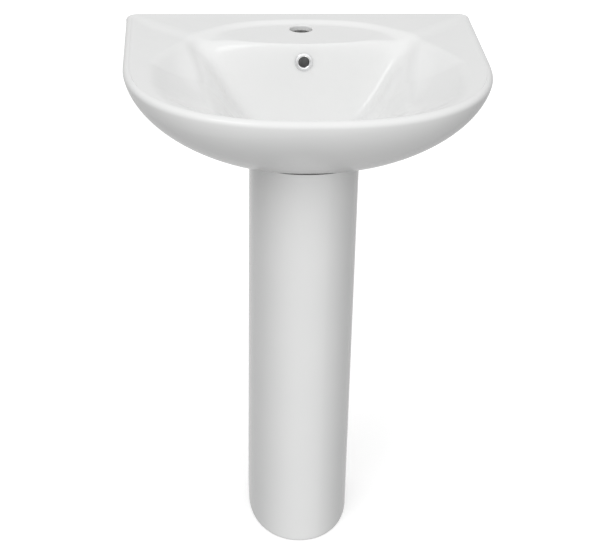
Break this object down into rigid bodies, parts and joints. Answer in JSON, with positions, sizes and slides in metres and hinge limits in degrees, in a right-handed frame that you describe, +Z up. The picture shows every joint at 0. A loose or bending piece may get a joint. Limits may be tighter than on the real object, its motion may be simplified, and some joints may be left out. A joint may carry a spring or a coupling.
{
  "type": "pedestal sink",
  "caption": "Free-standing washbasin with a petal-shaped bowl, tap ledge and overflow on a hollow pedestal, with push-plug waste, bottle trap and wall fixings.",
  "frame": {"origin": "on the floor under the centre of the waste, in the plane of the pedestal foot", "axes": "+Z up, +Y towards the wall, +X to the right of someone facing the wall"},
  "size_m": [0.55, 0.516, 0.83],
  "materials": {
    "glazed_china": "glossy white glaze",
    "chrome": "polished",
    "grey_rubber": "matt",
    "black_rubber": "matt",
    "plated_brass": "polished, machined thread",
    "raw_brass": "machined",
    "zinc_steel": "bright zinc plate",
    "spring_steel": "drawn wire",
    "nylon": "natural nylon",
    "orange_acetal": "moulded",
    "white_plastic": "moulded, satin"
  },
  "bodies": {
    "sink": {"basin": "glazed_china", "overflow_ring": "chrome", "pedestal": "glazed_china", "pedestal_pads": "grey_rubber", "waste_body": "plated_brass", "waste_top_seal": "black_rubber", "waste_bottom_seal": "black_rubber", "waste_washer": "zinc_steel", "waste_backnut": "raw_brass", "plug_spring": "spring_steel", "plug_cartridge": "nylon", "trap_inlet_nut": "white_plastic", "trap_inlet_washer": "black_rubber", "trap_dip_tube": "white_plastic", "trap_neck_nut": "white_plastic", "trap_neck_washer": "black_rubber", "trap_body": "white_plastic", "trap_cup_seal": "black_rubber", "trap_outlet_nut": "white_plastic", "trap_outlet_washer": "black_rubber", "trap_outlet_pipe": "white_plastic", "wall_bolts": "zinc_steel", "bolt_sleeves": "nylon", "bolt_washers": "zinc_steel", "bolt_nuts": "zinc_steel"},
    "plug": {"plug_cap": "chrome", "plug_seal": "black_rubber", "plug_stem": "nylon"},
    "latch": {"latch_rotor": "orange_acetal"},
    "cup": {"trap_cup": "white_plastic"},
    "rosette": {"wall_rosette": "white_plastic"}
  },
  "joints": [
    {"name": "plug_press", "type": "slide", "parent": "sink", "child": "plug", "axis": [0, 0, 1], "range_m": [-0.009, 0], "stiffness_N_per_m": 250, "springref_m": 0.012, "deforming": ["plug_spring"]},
    {"name": "latch_turn", "type": "hinge", "parent": "plug", "child": "latch", "pos_m": [0, 0, 0.674], "axis": [0, 0, 1], "range_deg": [0, 45]},
    {"name": "cup_drop", "type": "slide", "parent": "sink", "child": "cup", "axis": [0, 0, 1], "range_m": [-0.08, 0]},
    {"name": "rosette_slide", "type": "slide", "parent": "sink", "child": "rosette", "axis": [0, 1, 0], "range_m": [-0.06, 0]}
  ],
  "couplings": [
    {"joint": "latch_turn", "follows": "plug_press", "rad_per_m": -87.2}
  ]
}
